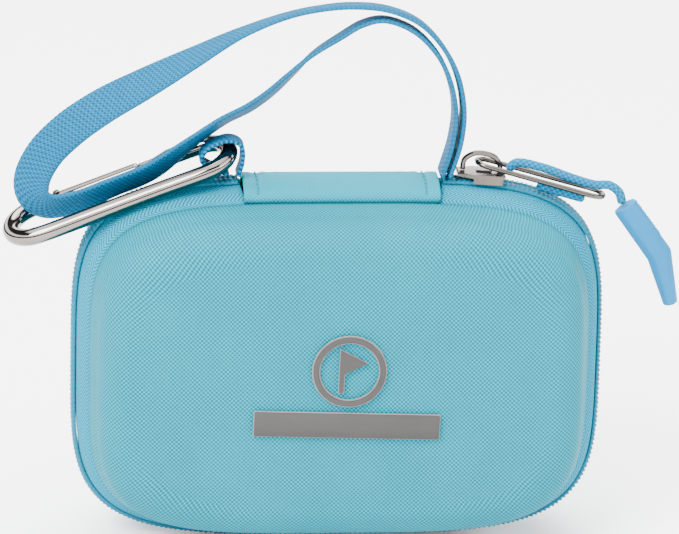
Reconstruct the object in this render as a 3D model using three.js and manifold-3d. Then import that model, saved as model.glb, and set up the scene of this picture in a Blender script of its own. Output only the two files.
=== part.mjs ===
// Zip-round hard carrying case with a webbing wrist strap, a wire carabiner and a corded zip puller.
// Millimetres. +X right, +Y to the back, +Z up. The zip runs round the plane y = 0.
import * as THREE from 'three';
import { mergeVertices } from 'three/addons/utils/BufferGeometryUtils.js';
import Module from 'manifold-3d';

const wasm = await Module();
wasm.setup();

// Case outline, measured at the seam where the shell meets the zip tape.
const SEAM_HALF_WIDTH = 66.5;
const SEAM_HALF_HEIGHT = 45.6;
const CORNER_POWER = 4.2;
const CASE_DEPTH = 56;
const SEAM_Y = 9.5;
const SHELL_WALL = 1.6;
const LINING_WALL = 0.8;
const GAP = 0.35;
const FACE_EDGE_RADIUS = 10;
const WALL_DRAFT = 1.7;
const FACE_CROWN = 1.1;
const FACE_FLAT_SHARE = 0.5;
const OUTLINE_STEPS = 60;

// Zip: tape that stands outward from the seam, with the coil along its free edge.
const TAPE_WALL = 0.8;
const TAPE_RISE = 3.3;
const COIL_HEIGHT = 1.2;
const COIL_WIDTH = 2.8;
const ZIP_HALF_GAP = 0.35;
const CREST_RISE = TAPE_RISE + GAP + COIL_HEIGHT;
const CENTRE_Z = SEAM_HALF_HEIGHT + CREST_RISE;
const TOP_SEAM_Z = CENTRE_Z + SEAM_HALF_HEIGHT;
const CREST_Z = CENTRE_Z + SEAM_HALF_HEIGHT + CREST_RISE;
// Height of the zip's crest at a distance from the middle.
const crestAt = (x) => {
  const share = Math.abs(x) / (SEAM_HALF_WIDTH + CREST_RISE);
  return CENTRE_Z * (1 + (1 - share ** CORNER_POWER) ** (1 / CORNER_POWER));
};

// Spine: the fabric band that hinges the two halves on top.
const SPINE_HALF_LENGTH = 26;
const SPINE_WALL = 1.2;
const SPINE_RISE = 5.0;
const SPINE_LINING_WALL = 0.7;

// Wrist strap, carabiner and its keeper loop.
const STRAP_WIDTH = 10;
const STRAP_WALL = 1.3;
const STRAP_STEPS = 96;
const ROD_RADIUS = 2.3;
const RING_HALF_WIDTH = 7.7;
const RING_REST_Z = crestAt(-58) + ROD_RADIUS;
const RING_RIGHT = new THREE.Vector3(-29.6, 0.9, RING_REST_Z + 10.52);
const RING_LEFT = new THREE.Vector3(-87, 0.9, RING_REST_Z - 11.68);
const LOOP_LIFT = Math.max(RING_REST_Z + ROD_RADIUS - 99.38, crestAt(-70) - 88.2);
const RING_TILT = THREE.MathUtils.degToRad(11);
const GATE_START = 49.5;
const GATE_END = 24.5;
const GATE_GAP = 0.4;
const GATE_HINGE_GAP = 1.0;
const GATE_RADIUS = 2.0;
const GATE_PIN_RADIUS = 0.7;
const KEEPER_WIDTH = 6.6;
const KEEPER_WALL = 1.2;
const KEEPER_SLACK = 3.8;

// Zip slider, its bridge, the wire pull, the cord and the moulded grip.
const SLIDER_X = 37.4;
const SLIDER_TILT = THREE.MathUtils.degToRad(4.2);
const SLIDER_LENGTH = 13;
const SLIDER_WIDTH = 9.2;
const SLIDER_PLATE = 1.3;
const BRIDGE_LENGTH = 10;
const BRIDGE_HEIGHT = 4.6;
const BRIDGE_WIRE = 0.75;
const PULL_PIVOT = new THREE.Vector3(37.4, 0, CREST_Z + 3.6);
const PULL_END = new THREE.Vector3(68.6, -4, crestAt(64) + 6.43);
const PULL_WIRE = 0.7;
const PULL_HALF_WIDTH = 3.1;
const CORD_RADIUS = 1.2;
const GRIP_WIDTH = 6.6;

const group = new THREE.Group();
group.name = 'carrying_case';

const FINISHES = {
  shell: { color: 0x62d3e6, roughness: 0.62, metalness: 0 },
  lining: { color: 0x2c3138, roughness: 0.95, metalness: 0 },
  tape: { color: 0x7fcdef, roughness: 0.8, metalness: 0 },
  coil: { color: 0x3f9cc0, roughness: 0.5, metalness: 0 },
  spine: { color: 0x3cc3da, roughness: 0.7, metalness: 0 },
  webbing: { color: 0x5aa9dd, roughness: 0.75, metalness: 0 },
  chrome: { color: 0xc9c6c4, roughness: 0.12, metalness: 1 },
  steel: { color: 0xa9a39c, roughness: 0.28, metalness: 1 },
  grip: { color: 0x4ab2e0, roughness: 0.5, metalness: 0 },
  badge: { color: 0x96908a, roughness: 0.55, metalness: 0 },
  thread: { color: 0x2ba6c2, roughness: 0.8, metalness: 0 },
};

// Adds one closed body to the case under its own name and finish.
function place(name, finish, geometry) {
  const material = new THREE.MeshStandardMaterial(FINISHES[finish]);
  material.name = finish;
  const mesh = new THREE.Mesh(geometry, material);
  mesh.name = name;
  group.add(mesh);
  return mesh;
}

// A three.js geometry as a manifold solid.
function solid(geometry) {
  const bare = geometry.clone();
  bare.deleteAttribute('normal');
  bare.deleteAttribute('uv');
  const welded = mergeVertices(bare, 1e-4);
  const index = [];
  const all = welded.index.array;
  for (let i = 0; i < all.length; i += 3) {
    const [a, b, c] = [all[i], all[i + 1], all[i + 2]];
    if (a !== b && b !== c && c !== a) index.push(a, b, c);
  }
  const mesh = new wasm.Mesh({
    numProp: 3,
    vertProperties: new Float32Array(welded.attributes.position.array),
    triVerts: new Uint32Array(index),
  });
  mesh.merge();
  return new wasm.Manifold(mesh);
}

// A manifold solid as a three.js geometry.
function geometryOf(body) {
  const mesh = body.getMesh();
  const geometry = new THREE.BufferGeometry();
  geometry.setAttribute('position', new THREE.BufferAttribute(mesh.vertProperties, 3));
  geometry.setIndex(new THREE.BufferAttribute(mesh.triVerts, 1));
  geometry.computeVertexNormals();
  return geometry;
}

// An axis-aligned block given by its two corners.
function block(low, high) {
  const size = high.map((value, i) => value - low[i]);
  const geometry = new THREE.BoxGeometry(...size);
  return solid(geometry.translate(...low.map((value, i) => value + size[i] / 2)));
}

// Distance from the centre to the squared-up oval with the given half sizes, in direction angle.
function ovalReach(angle, halfWidth, halfHeight, power) {
  const across = Math.abs(Math.sin(angle) / halfWidth) ** power;
  const up = Math.abs(Math.cos(angle) / halfHeight) ** power;
  return (across + up) ** (-1 / power);
}

// Directions that divide the seam outline into steps of even length.
function evenAngles(steps) {
  const fine = 4000;
  const lengths = [0];
  let last = null;
  for (let i = 0; i <= fine; i += 1) {
    const angle = (i / fine) * 2 * Math.PI;
    const reach = ovalReach(angle, SEAM_HALF_WIDTH, SEAM_HALF_HEIGHT, CORNER_POWER);
    const point = new THREE.Vector2(Math.sin(angle), Math.cos(angle)).multiplyScalar(reach);
    if (last) lengths.push(lengths[i - 1] + point.distanceTo(last));
    last = point;
  }
  const angles = [];
  let at = 0;
  for (let k = 0; k <= steps; k += 1) {
    const target = (k / steps) * lengths[fine];
    while (at < fine && lengths[at] < target) at += 1;
    angles.push((at / fine) * 2 * Math.PI);
  }
  return angles;
}

// A lathe about the depth axis, squared up to the case's outline. Profile points are
// [rise outward from the seam, y]; a rise of -SEAM_HALF_HEIGHT is the middle of the face.
function ring(profile, steps = OUTLINE_STEPS) {
  const points = profile.map(([rise, y]) => new THREE.Vector2(SEAM_HALF_HEIGHT + rise, y));
  const geometry = new THREE.LatheGeometry(points, steps);
  const angles = evenAngles(steps);
  const position = geometry.attributes.position;
  const extra = SEAM_HALF_WIDTH - SEAM_HALF_HEIGHT;
  for (let i = 0; i < position.count; i += 1) {
    const column = Math.floor(i / points.length);
    const radius = points[i % points.length].x;
    const share = Math.min(1, radius / SEAM_HALF_HEIGHT);
    const halfWidth = radius + extra * (1 - (1 - share) ** 3);
    const power = 2.2 + (CORNER_POWER - 2.2) * share ** 0.7;
    const angle = angles[column];
    const reach = radius < 1e-6 ? 0 : ovalReach(angle, halfWidth, radius, power);
    const x = reach * Math.sin(angle);
    const z = CENTRE_Z + reach * Math.cos(angle);
    position.setXYZ(i, x, position.getY(i), z);
  }
  let body = solid(geometry);
  if (body.volume() < 0) body = flipped(geometry);
  return body;
}

// The same surface with its faces turned round.
function flipped(geometry) {
  const index = geometry.index.array;
  for (let i = 0; i < index.length; i += 3) {
    [index[i], index[i + 1]] = [index[i + 1], index[i]];
  }
  return solid(geometry);
}

// The moulded half shell's section, from the middle of its face out to the rim and back inside.
function shellProfile(inset, rimY, side) {
  const edge = FACE_EDGE_RADIUS - inset;
  const faceY = CASE_DEPTH / 2 - FACE_CROWN - inset;
  const outer = [];
  const middle = -SEAM_HALF_HEIGHT;
  const faceEdge = -WALL_DRAFT - FACE_EDGE_RADIUS;
  for (const share of [0, FACE_FLAT_SHARE, 0.7, 0.87]) {
    const fall = (share - FACE_FLAT_SHARE) / (1 - FACE_FLAT_SHARE);
    const crown = share < FACE_FLAT_SHARE ? 1 : 1 - fall ** 2;
    outer.push([middle + (faceEdge - middle) * share, faceY + FACE_CROWN * crown]);
  }
  for (let i = 0; i <= 5; i += 1) {
    const turn = (i / 5) * (Math.PI / 2);
    const rise = faceEdge + edge * Math.sin(turn);
    outer.push([rise, faceY - edge + edge * Math.cos(turn)]);
  }
  outer.push([-0.7 - inset, (faceY - edge + rimY) / 2]);
  outer.push([-inset, rimY]);
  return outer.map(([rise, y]) => [rise, side * y]);
}

// A half shell or its lining: the outer section joined to the same section set inward by a wall.
function halfBowl(outerInset, wall, rimY, side) {
  const outer = shellProfile(outerInset, rimY, side);
  const inner = shellProfile(outerInset + wall, rimY, side).reverse();
  return ring([...outer, ...inner]);
}

// The zip tape's section for one half, rising outward from the seam to the coil.
function tapeSection(side) {
  const top = [
    [-0.9, SEAM_Y - 0.1],
    [1.2, SEAM_Y - 1.9],
    [2.7, SEAM_Y - 4.2],
    [TAPE_RISE, SEAM_Y - 6.6],
    [TAPE_RISE, ZIP_HALF_GAP],
  ];
  const under = [
    [TAPE_RISE - TAPE_WALL, ZIP_HALF_GAP],
    [TAPE_RISE - TAPE_WALL, SEAM_Y - 6.6],
    [2.0, SEAM_Y - 4.9],
    [0.5, SEAM_Y - 2.8],
    [-1.6, SEAM_Y - 1.0],
  ];
  const all = [...top, ...under];
  return [...all, all[0]].map(([rise, y]) => [rise, side * y]);
}

// The coil's section for one half: a flat-topped bead beside the parting line.
function coilSection(side) {
  const low = TAPE_RISE + GAP;
  const high = low + COIL_HEIGHT;
  const far = ZIP_HALF_GAP + COIL_WIDTH;
  const all = [
    [low, ZIP_HALF_GAP],
    [low, far],
    [high - 0.5, far],
    [high, far - 0.7],
    [high, ZIP_HALF_GAP],
  ];
  return [...all, all[0]].map(([rise, y]) => [rise, side * y]);
}

// Space kept free of zip tape where the spine band crosses the top.
const spineSpace = block(
  [-SPINE_HALF_LENGTH - GAP, -SEAM_Y - 3, CENTRE_Z],
  [SPINE_HALF_LENGTH + GAP, SEAM_Y + 3, CREST_Z + 10],
);

function addHalf(prefix, side) {
  const shell = halfBowl(0, SHELL_WALL, SEAM_Y + 0.3, side);
  const lining = halfBowl(SHELL_WALL + GAP, LINING_WALL, SEAM_Y + 0.6, side);
  place(`${prefix}_shell`, 'shell', geometryOf(shell));
  place(`${prefix}_lining`, 'lining', geometryOf(lining));
  const tape = ring(tapeSection(side)).subtract(spineSpace);
  const coil = ring(coilSection(side), 84).subtract(spineSpace);
  place(`${prefix}_zip_tape`, 'tape', geometryOf(tape));
  place(`${prefix}_zip_coil`, 'coil', geometryOf(coil));
}

// A strip of constant section extruded along X between two stations, from [y, z] points.
function alongX(points, from, to) {
  const shape = new THREE.Shape(points.map(([y, z]) => new THREE.Vector2(y, z)));
  const geometry = new THREE.ExtrudeGeometry(shape, { depth: to - from, bevelEnabled: false });
  const turn = new THREE.Matrix4().makeBasis(
    new THREE.Vector3(0, 1, 0),
    new THREE.Vector3(0, 0, 1),
    new THREE.Vector3(1, 0, 0),
  );
  return geometry.applyMatrix4(turn).translate(from, 0, 0);
}

// The spine's arched section: its rise at each share of the way from the middle to the seam.
function spineArch(halfSpan, foot, rise, wall) {
  const shares = [-1, -0.9, -0.62, -0.22, 0.22, 0.62, 0.9, 1];
  const heights = [0, 0.48, 0.84, 1, 1, 0.84, 0.48, 0];
  const outer = shares.map((share, i) => [share * halfSpan, foot + rise * heights[i]]);
  const inner = shares.map((share, i) => {
    const reach = share * (halfSpan - wall);
    return [reach, foot - 0.02 + (rise - wall) * heights[i]];
  });
  return [...outer, ...inner.reverse()];
}

function addSpine() {
  const halfSpan = SEAM_Y - 0.1;
  const arch = spineArch(halfSpan, TOP_SEAM_Z - 0.4, SPINE_RISE, SPINE_WALL);
  place('spine_band', 'spine', alongX(arch, -SPINE_HALF_LENGTH, SPINE_HALF_LENGTH));
  const under = spineArch(
    halfSpan - SPINE_WALL - GAP,
    TOP_SEAM_Z - 0.4,
    SPINE_RISE - SPINE_WALL - GAP,
    SPINE_LINING_WALL,
  );
  const inset = 1;
  const reach = SPINE_HALF_LENGTH - inset;
  place('spine_lining', 'lining', alongX(under, -reach, reach));
}

// Webbing: a long box whose cross-sections are set along a route. Each route point is
// [x, y, z, lean], lean being the turn in degrees of the front edge towards the hollow of the loop.
function webbing(route, width, wall, steps, outwardSign) {
  const centre = new THREE.CatmullRomCurve3(
    route.map(([x, y, z]) => new THREE.Vector3(x, y, z)),
    false,
    'centripetal',
  );
  const leans = new THREE.CatmullRomCurve3(
    route.map((point, i) => new THREE.Vector3(i, point[3], 0)),
    false,
    'centripetal',
  );
  const geometry = new THREE.BoxGeometry(width, wall, 1, 1, 1, steps);
  const position = geometry.attributes.position;
  const depth = new THREE.Vector3(0, 1, 0);
  for (let i = 0; i < position.count; i += 1) {
    const share = Math.min(1, Math.max(0, position.getZ(i) + 0.5));
    const at = centre.getPoint(share);
    const along = centre.getTangent(share);
    along.y = 0;
    along.normalize();
    const outward = new THREE.Vector3().crossVectors(depth, along).multiplyScalar(outwardSign);
    const lean = THREE.MathUtils.degToRad(leans.getPoint(share).y);
    const front = depth.clone().multiplyScalar(-Math.cos(lean));
    front.addScaledVector(outward, Math.sin(lean));
    const face = new THREE.Vector3().crossVectors(front, along).normalize();
    at.addScaledVector(front, position.getX(i));
    at.addScaledVector(face, position.getY(i));
    position.setXYZ(i, at.x, at.y, at.z);
  }
  let body = solid(geometry);
  if (body.volume() < 0) body = flipped(geometry);
  return body;
}

// The strap leaves the spine's right end, arches over to the left, turns back through the
// carabiner and returns along its own inner side to the same root.
const STRAP_ROUTE = [
  [28.9, 0, 101.3, 0],
  [31.6, 0, 110.7, 0],
  [32.2, 0, 119.7, 0],
  [30.1, 0, 129.2, -2],
  [25.7, 0, 137.1, -4],
  [19.7, 0, 143.0, -6],
  [11.6, 0, 146.4, -8],
  [2.5, 0, 147.3, -9],
  [-6.4, 0, 146.5, -10],
  [-15.2, 0, 144.5, -9],
  [-27.1, 0, 139.8, -1],
  [-39.8, 0, 132.9, 17],
  [-52.5, 0, 125.9, 38],
  [-63.8, 0, 119.5, 56],
  [-72.8, 0, 112.8, 74],
  [-78.8, 0.2, 106.1, 76],
  [-81.7, 0.4, 99.1, 68],
  [-80.9, 0.5, 94.6, 60],
  [-77.2, 0.5, 92.3, 54],
  [-70.4, 0.5, 93.4, 48],
  [-60.8, 0.5, 97.3, 44],
  [-50.2, 0.5, 101.9, 42],
  [-39.6, 0.2, 110.0, 30],
  [-31.2, 0, 116.0, 26],
  [-24.6, 0.2, 119.4, 26],
  [-19.2, 0.3, 123.3, 24],
  [-14.0, 0.3, 128.2, 20],
  [-7.9, 0.2, 134.1, 12],
  [-0.3, 0.2, 139.2, 8],
  [5.0, 0.2, 142.4, 8],
  [10.6, 0.1, 143.6, 8],
  [18.2, 0.1, 140.9, 5],
  [24.2, 0, 135.2, 3],
  [27.9, 0, 128.5, 1],
  [30.0, 0, 119.6, 0],
  [29.4, 0, 110.7, 0],
  [26.9, 0, 101.3, 0],
];

function addStrap() {
  const route = STRAP_ROUTE.map(([x, y, z, lean], i) => {
    const atRoot = i === 0 || i === STRAP_ROUTE.length - 1;
    return [x, y, atRoot ? CREST_Z + 0.4 : z + LOOP_LIFT, lean];
  });
  const strap = webbing(route, STRAP_WIDTH, STRAP_WALL, STRAP_STEPS, -1);
  place('wrist_strap', 'webbing', geometryOf(strap));
}

// A bar of round section along a route of points.
function bar(points, radius, sides, steps, closed = false) {
  const path = new THREE.CatmullRomCurve3(points, closed, 'centripetal');
  const shape = new THREE.Shape();
  for (let i = 0; i < sides; i += 1) {
    const angle = ((i + 0.5) / sides) * 2 * Math.PI;
    const x = radius * Math.cos(angle);
    const y = radius * Math.sin(angle);
    if (i === 0) shape.moveTo(x, y);
    else shape.lineTo(x, y);
  }
  shape.closePath();
  return new THREE.ExtrudeGeometry(shape, { steps, extrudePath: path, bevelEnabled: false });
}

// The carabiner's own directions: along its length from the keeper end, and across to the rear.
const ringAlong = RING_LEFT.clone().sub(RING_RIGHT).normalize();
const ringUp = new THREE.Vector3(ringAlong.z, 0, -ringAlong.x);
const ringAcross = new THREE.Vector3(0, Math.cos(RING_TILT), 0);
ringAcross.addScaledVector(ringUp, Math.sin(RING_TILT));
const ringLength = RING_LEFT.distanceTo(RING_RIGHT);

function ringPoint(along, across) {
  const point = RING_RIGHT.clone().addScaledVector(ringAlong, along);
  return point.addScaledVector(ringAcross, across);
}

// Half-circle end of the carabiner, from one side's angle to the other's.
function ringEnd(centreAlong, fromDegrees, toDegrees, count) {
  const points = [];
  for (let i = 0; i <= count; i += 1) {
    const angle = THREE.MathUtils.degToRad(fromDegrees + ((toDegrees - fromDegrees) * i) / count);
    const along = centreAlong + RING_HALF_WIDTH * Math.sin(angle);
    points.push(ringPoint(along, RING_HALF_WIDTH * Math.cos(angle)));
  }
  return points;
}

function addCarabiner() {
  const farCentre = ringLength - RING_HALF_WIDTH;
  const route = [
    ringPoint(GATE_START + GATE_HINGE_GAP, RING_HALF_WIDTH),
    ...ringEnd(farCentre, 0, 180, 7),
    ringPoint(ringLength * 0.66, -RING_HALF_WIDTH),
    ringPoint(ringLength * 0.33, -RING_HALF_WIDTH),
    ...ringEnd(RING_HALF_WIDTH, 180, 360, 7),
    ringPoint(GATE_END - GATE_GAP, RING_HALF_WIDTH),
  ];
  place('carabiner_frame', 'chrome', bar(route, ROD_RADIUS, 12, 52));
  const gateRoute = [ringPoint(GATE_START, RING_HALF_WIDTH), ringPoint(GATE_END, RING_HALF_WIDTH)];
  const normal = ringAlong.clone().cross(ringAcross).normalize();
  const hinge = ringPoint(GATE_START - 2.2, RING_HALF_WIDTH);
  const hole = bar(
    [hinge.clone().addScaledVector(normal, -4), hinge.clone().addScaledVector(normal, 4)],
    GATE_PIN_RADIUS + 0.1,
    12,
    1,
  );
  const tube = solid(bar(gateRoute, GATE_RADIUS, 12, 1)).subtract(solid(hole));
  place('carabiner_gate', 'chrome', geometryOf(tube));
  const reach = GATE_RADIUS + 0.35;
  const pinEnds = [
    hinge.clone().addScaledVector(normal, -reach),
    hinge.clone().addScaledVector(normal, reach),
  ];
  place('gate_pin', 'steel', bar(pinEnds, GATE_PIN_RADIUS, 12, 1));
}

// The short webbing keeper at the spine's left end, looped over the carabiner's end.
function addKeeper() {
  const eye = RING_RIGHT.clone();
  const reach = ROD_RADIUS + KEEPER_WALL / 2 + 0.6;
  const foot = SPINE_HALF_LENGTH + 1.2;
  const route = [
    [-foot, 0, CREST_Z + 0.5, 0],
    [eye.x + reach, 0, eye.z - 2, 0],
    [eye.x + reach * 0.86, 0, eye.z + reach * 0.6, 0],
    [eye.x, 0, eye.z + reach, 0],
    [eye.x - reach * 1.6, 0, eye.z + reach * 0.4, 0],
    [eye.x - reach - KEEPER_SLACK, 0, eye.z - 2, 0],
    [-foot - KEEPER_WALL * 2.2, 0, CREST_Z + 0.7, 0],
  ];
  const keeper = webbing(route, KEEPER_WIDTH, KEEPER_WALL, 26, -1);
  place('carabiner_keeper', 'webbing', geometryOf(keeper));
}

addHalf('back', 1);
addHalf('front', -1);
addSpine();
addStrap();
addCarabiner();
addKeeper();

// Turns a shape built about the origin to lie on the zip crest under the slider.
function onCrest(geometry) {
  geometry.rotateY(SLIDER_TILT);
  return geometry.translate(SLIDER_X, 0, sliderBaseZ);
}
const crestDrop = ovalReach(
  Math.atan2(SLIDER_X, SEAM_HALF_HEIGHT + CREST_RISE),
  SEAM_HALF_WIDTH + CREST_RISE,
  SEAM_HALF_HEIGHT + CREST_RISE,
  CORNER_POWER,
);
const crestAngle = Math.atan2(SLIDER_X, SEAM_HALF_HEIGHT + CREST_RISE);
const sliderBaseZ = CENTRE_Z + crestDrop * Math.cos(crestAngle) + 0.45;

function addSlider() {
  const half = SLIDER_LENGTH / 2;
  const shape = new THREE.Shape([
    new THREE.Vector2(-half, -SLIDER_WIDTH * 0.3),
    new THREE.Vector2(-half * 0.3, -SLIDER_WIDTH / 2),
    new THREE.Vector2(half * 0.9, -SLIDER_WIDTH / 2),
    new THREE.Vector2(half, -SLIDER_WIDTH * 0.34),
    new THREE.Vector2(half, SLIDER_WIDTH * 0.34),
    new THREE.Vector2(half * 0.9, SLIDER_WIDTH / 2),
    new THREE.Vector2(-half * 0.3, SLIDER_WIDTH / 2),
    new THREE.Vector2(-half, SLIDER_WIDTH * 0.3),
  ]);
  const plate = new THREE.ExtrudeGeometry(shape, {
    depth: SLIDER_PLATE - 0.6,
    bevelEnabled: true,
    bevelThickness: 0.3,
    bevelSize: 0.3,
    bevelOffset: -0.3,
    bevelSegments: 1,
  });
  plate.translate(0, 0, 0.3);
  let body = solid(onCrest(plate));
  for (const side of [-1, 1]) {
    const flange = new THREE.BoxGeometry(SLIDER_LENGTH * 0.6, 0.8, COIL_HEIGHT + 0.5);
    flange.translate(half * 0.26, side * (SLIDER_WIDTH / 2 - 0.4), 0.35 - COIL_HEIGHT / 2);
    body = body.add(solid(onCrest(flange)));
  }
  place('slider_body', 'steel', geometryOf(body));

  const low = SLIDER_PLATE + 0.3;
  const reach = BRIDGE_LENGTH / 2;
  const points = [
    [-reach, low],
    [-reach * 0.95, low + BRIDGE_HEIGHT * 0.55],
    [-reach * 0.5, low + BRIDGE_HEIGHT * 0.95],
    [reach * 0.1, low + BRIDGE_HEIGHT],
    [reach * 0.7, low + BRIDGE_HEIGHT * 0.8],
    [reach, low + BRIDGE_HEIGHT * 0.3],
    [reach, low],
  ].map(([x, z]) => new THREE.Vector3(x, 0, z));
  place('slider_bridge', 'steel', onCrest(bar(points, BRIDGE_WIRE, 8, 20)));

  const spring = new THREE.BoxGeometry(BRIDGE_LENGTH * 0.42, 1.6, 0.3);
  spring.translate(0.8, 0, low);
  place('slider_lock', 'steel', onCrest(spring));
}

// A narrow closed wire link through the bridge, drawn out to hold the cord.
const pullAlong = PULL_END.clone().sub(PULL_PIVOT).normalize();
const pullAcross = new THREE.Vector3(0, 0, 1).cross(pullAlong).normalize();
const pullUp = pullAlong.clone().cross(pullAcross);
const pullLength = PULL_END.distanceTo(PULL_PIVOT);

function pullPoint(along, across, above = 0) {
  const point = PULL_PIVOT.clone().addScaledVector(pullAlong, along);
  return point.addScaledVector(pullAcross, across).addScaledVector(pullUp, above);
}

function addPull() {
  const half = PULL_HALF_WIDTH;
  const outline = new THREE.Shape();
  const hole = new THREE.Path();
  const outerReach = half + PULL_WIRE;
  const innerReach = half - PULL_WIRE;
  const farCentre = pullLength - outerReach;
  outline.absarc(0, 0, outerReach, Math.PI / 2, (3 * Math.PI) / 2, false);
  outline.absarc(farCentre, 0, outerReach, -Math.PI / 2, Math.PI / 2, false);
  hole.absarc(0, 0, innerReach, Math.PI / 2, (3 * Math.PI) / 2, false);
  hole.absarc(farCentre, 0, innerReach, -Math.PI / 2, Math.PI / 2, false);
  outline.holes.push(hole);
  const link = new THREE.ExtrudeGeometry(outline, {
    depth: PULL_WIRE * 2 - 0.8,
    curveSegments: 10,
    bevelEnabled: true,
    bevelThickness: 0.4,
    bevelSize: 0.4,
    bevelOffset: -0.4,
    bevelSegments: 2,
  });
  link.translate(0, 0, 0.4 - PULL_WIRE);
  const basis = new THREE.Matrix4().makeBasis(pullAlong, pullAcross, pullUp);
  const start = pullPoint(outerReach * 0.55, 0);
  link.applyMatrix4(basis).translate(start.x, start.y, start.z);
  place('pull_wire', 'steel', link);
}

// The cord runs doubled beside the link, then on into the grip.
const CORD_LIFT = 2.25;
const GRIP_ROUTE = [
  new THREE.Vector3(75.7, -4, PULL_END.z - 3.2),
  new THREE.Vector3(85.6, -4, PULL_END.z - 16.8),
  new THREE.Vector3(89.2, -4, PULL_END.z - 30.6),
];

function addCordAndGrip() {
  const far = pullLength;
  const upper = [
    pullPoint(far * 0.24, 0, 0.4),
    pullPoint(far * 0.28, 0, CORD_LIFT),
    pullPoint(far * 0.5, 0, CORD_LIFT + 0.7),
    pullPoint(far * 0.75, 0, CORD_LIFT + 0.1),
    pullPoint(far * 0.95, 0, CORD_LIFT),
    new THREE.Vector3(71.6, -4, PULL_END.z + 2.4),
    new THREE.Vector3(74.2, -4, PULL_END.z + 0.4),
    new THREE.Vector3(75.0, -4, PULL_END.z - 2.0),
  ];
  place('pull_cord', 'grip', bar(upper, CORD_RADIUS, 8, 24));
  const lower = [0.52, 0.68, 0.88].map((share) => pullPoint(far * share, 0, -CORD_LIFT));
  place('pull_cord_lower', 'grip', bar(lower, CORD_RADIUS, 8, 8));
  const sections = [
    [0, 7.0, 0.8],
    [0.5, 7.4, 1],
    [1, 4.2, 0.82],
  ];
  const geometry = new THREE.CylinderGeometry(1, 1, 1, 8, sections.length - 1);
  geometry.rotateY(Math.PI / 8);
  const position = geometry.attributes.position;
  for (let i = 0; i < position.count; i += 1) {
    const share = 0.5 - position.getY(i);
    const level = Math.round(share * (sections.length - 1));
    const [, height, spread] = sections[level];
    const before = GRIP_ROUTE[Math.max(0, level - 1)];
    const after = GRIP_ROUTE[Math.min(GRIP_ROUTE.length - 1, level + 1)];
    const along = after.clone().sub(before).normalize();
    const up = new THREE.Vector3(-along.z, 0, along.x);
    const at = GRIP_ROUTE[level].clone();
    at.addScaledVector(up, (position.getX(i) * height) / 2);
    at.y += (position.getZ(i) * GRIP_WIDTH * spread) / 2;
    position.setXYZ(i, at.x, at.y, at.z);
  }
  let grip = solid(geometry);
  if (grip.volume() < 0) grip = flipped(geometry);
  place('pull_grip', 'grip', geometryOf(grip));
}

// The raised badge: a ring with a flag inside it, over a plain bar.
const BADGE_CENTRE = [1.2, 55.6];
const BADGE_TURN = THREE.MathUtils.degToRad(1.6);
const BADGE_RADIUS = 9.6;
const BADGE_RAISE = 0.9;
const BAR_CENTRE = [1.2, 40.6];
const BAR_SIZE = [49, 6.6];
const badgeY = -(CASE_DEPTH / 2) - GAP - 0.05;

function raised(shape) {
  const geometry = new THREE.ExtrudeGeometry(shape, {
    depth: BADGE_RAISE,
    bevelEnabled: false,
    curveSegments: 20,
  });
  const [x, z] = BADGE_CENTRE;
  geometry.rotateX(Math.PI / 2).translate(-x, badgeY, -z);
  return geometry.rotateY(BADGE_TURN).translate(x, 0, z);
}

function addBadge() {
  const [x, z] = BADGE_CENTRE;
  const outline = new THREE.Shape().absarc(x, z, BADGE_RADIUS, 0, 2 * Math.PI, false);
  outline.holes.push(new THREE.Path().absarc(x, z, BADGE_RADIUS - 1.5, 0, 2 * Math.PI, false));
  place('badge_ring', 'badge', raised(outline));
  const flag = new THREE.Shape([
    new THREE.Vector2(x - 2.6, z - 5.8),
    new THREE.Vector2(x - 1.4, z - 5.8),
    new THREE.Vector2(x - 1.4, z - 0.6),
    new THREE.Vector2(x + 4.6, z + 2.4),
    new THREE.Vector2(x - 2.6, z + 6.0),
  ]);
  place('badge_flag', 'badge', raised(flag));
  const [half, rise] = [BAR_SIZE[0] / 2, BAR_SIZE[1] / 2];
  const strip = new THREE.Shape([
    new THREE.Vector2(BAR_CENTRE[0] - half, BAR_CENTRE[1] - rise),
    new THREE.Vector2(BAR_CENTRE[0] + half, BAR_CENTRE[1] - rise),
    new THREE.Vector2(BAR_CENTRE[0] + half, BAR_CENTRE[1] + rise),
    new THREE.Vector2(BAR_CENTRE[0] - half, BAR_CENTRE[1] + rise),
  ]);
  place('badge_bar', 'badge', raised(strip));
}

// Inside: a mesh pocket in the lid and an elastic band across the back half.
const POCKET_HALF_WIDTH = 46;
const POCKET_BASE_Z = 22;
const POCKET_TOP_Z = 60;
const POCKET_Y = CASE_DEPTH / 2 - 12.5;
const POCKET_WALL = 0.8;
const HEM_HEIGHT = 5;
const BAND_HALF_LENGTH = 58;
const BAND_HEIGHT = 18;
const BAND_WALL = 1.2;

function addInside() {
  const pocketTop = POCKET_TOP_Z - HEM_HEIGHT - GAP;
  const near = -POCKET_Y + POCKET_WALL;
  const pocket = block(
    [-POCKET_HALF_WIDTH, -POCKET_Y, POCKET_BASE_Z],
    [POCKET_HALF_WIDTH, near, pocketTop],
  );
  place('mesh_pocket', 'lining', geometryOf(pocket));
  const hem = block(
    [-POCKET_HALF_WIDTH, -POCKET_Y - 0.3, POCKET_TOP_Z - HEM_HEIGHT],
    [POCKET_HALF_WIDTH, near + 0.3, POCKET_TOP_Z],
  );
  place('pocket_hem', 'lining', geometryOf(hem));
  const band = block(
    [-BAND_HALF_LENGTH, SEAM_Y + 3, CENTRE_Z - BAND_HEIGHT / 2],
    [BAND_HALF_LENGTH, SEAM_Y + 3 + BAND_WALL, CENTRE_Z + BAND_HEIGHT / 2],
  );
  place('elastic_band', 'lining', geometryOf(band));
}

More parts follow.
